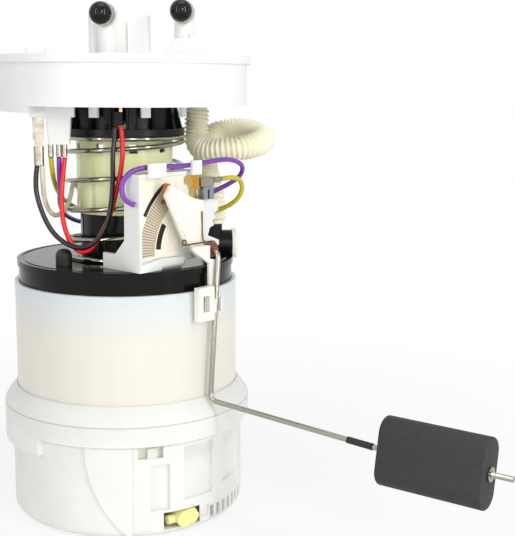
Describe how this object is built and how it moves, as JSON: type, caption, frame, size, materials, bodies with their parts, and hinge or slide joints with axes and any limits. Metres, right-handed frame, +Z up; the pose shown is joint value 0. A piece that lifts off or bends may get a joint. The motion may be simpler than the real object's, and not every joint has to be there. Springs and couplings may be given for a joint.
{
  "type": "in-tank fuel pump module",
  "caption": "In-tank fuel pump module: sprung swirl pot with an electric pump and pressure regulator under a tank flange, and a level sender with a float arm.",
  "frame": {"origin": "centre of the pot's underside", "axes": "+Z up along the pot's axis towards the tank flange; -Y is the side with the fuel pipes' ends, +X the side with the return hose"},
  "size_m": [0.2329, 0.2279, 0.2708],
  "materials": {
    "white_plastic": "satin",
    "pot_plastic": "satin, clear milky",
    "shell_plastic": "satin",
    "black_plastic": "gloss",
    "black_satin": "satin",
    "cap_plastic": "gloss",
    "clear_plastic": "clear",
    "sleeve_plastic": "clear green",
    "nozzle_plastic": "satin",
    "cream_plastic": "satin",
    "card_ceramic": "matt",
    "track_print": "matt",
    "conductor_print": "matt",
    "spring_steel": "drawn",
    "motor_steel": "plated",
    "brass": "plain",
    "copper": "copper",
    "bush_plastic": "satin",
    "float_foam": "matt",
    "rubber": "matt",
    "black_wire": "satin",
    "red_wire": "satin",
    "yellow_wire": "satin",
    "purple_wire": "satin",
    "white_wire": "satin",
    "hose_plastic": "satin",
    "filter_cloth": "woven"
  },
  "bodies": {
    "reservoir": {"lower_shell": "shell_plastic", "upper_bucket": "pot_plastic", "foot_valve": "rubber", "jet_nozzle": "nozzle_plastic", "lid": "black_plastic", "lid_grommet": "rubber", "pump_canister": "black_satin", "pump_motor": "motor_steel", "pump_head": "black_satin", "pump_blades": "brass", "pump_inlet": "black_satin", "pump_isolator": "rubber", "pump_strainer": "filter_cloth", "delivery_tube": "cream_plastic", "regulator_body": "black_satin", "regulator_cap": "cream_plastic", "coil_spring": "spring_steel", "sender_bracket": "cream_plastic", "sender_card": "card_ceramic", "resistor_track": "track_print", "conductor_prints": "conductor_print", "contact_strip": "brass", "terminal_block": "motor_steel", "crimp_terminal": "spring_steel", "black_lead": "black_wire", "red_lead": "red_wire", "yellow_lead": "yellow_wire", "purple_lead": "purple_wire", "ground_lead": "white_wire", "return_hose": "hose_plastic"},
    "tank_flange": {"flange": "white_plastic", "spring_seat": "black_satin", "seat_post": "brass", "guide_sleeve": "sleeve_plastic", "supply_lock_ring": "clear_plastic", "return_lock_ring": "clear_plastic", "connector_pins": "brass", "flat_terminal": "spring_steel", "lead_shroud": "white_plastic", "lead_crimps": "spring_steel", "lead_boot": "black_satin"},
    "float_arm": {"float_rod": "spring_steel", "wiper_lever": "cream_plastic", "wiper_contact": "copper", "hub_bush": "bush_plastic", "lever_spring": "spring_steel", "rod_sleeve": "rubber", "push_washer": "spring_steel"},
    "float": {"level_float": "float_foam"},
    "supply_dust_cap": {"supply_cap": "cap_plastic"},
    "return_dust_cap": {"return_cap": "cap_plastic"}
  },
  "joints": [
    {"name": "flange_slide", "type": "slide", "parent": "reservoir", "child": "tank_flange", "axis": [0, 0, -1], "range_m": [0, 0.02], "stiffness_N_per_m": 600, "springref_m": -0.02, "deforming": ["coil_spring", "black_lead", "red_lead", "yellow_lead", "purple_lead", "ground_lead", "return_hose"]},
    {"name": "arm_swing", "type": "hinge", "parent": "reservoir", "child": "float_arm", "pos_m": [0.04074, -0.03733, 0.1446], "axis": [0.6691, -0.7431, 0], "range_deg": [-8, 45]},
    {"name": "float_spin", "type": "hinge", "parent": "float_arm", "child": "float", "pos_m": [0.13699, -0.13382, 0.062], "axis": [0.7314, -0.682, 0], "continuous": true},
    {"name": "supply_cap_pull", "type": "slide", "parent": "tank_flange", "child": "supply_dust_cap", "axis": [-0.1392, -0.9903, 0], "range_m": [0, 0.02]},
    {"name": "return_cap_pull", "type": "slide", "parent": "tank_flange", "child": "return_dust_cap", "axis": [-0.1392, -0.9903, 0], "range_m": [0, 0.02]}
  ]
}
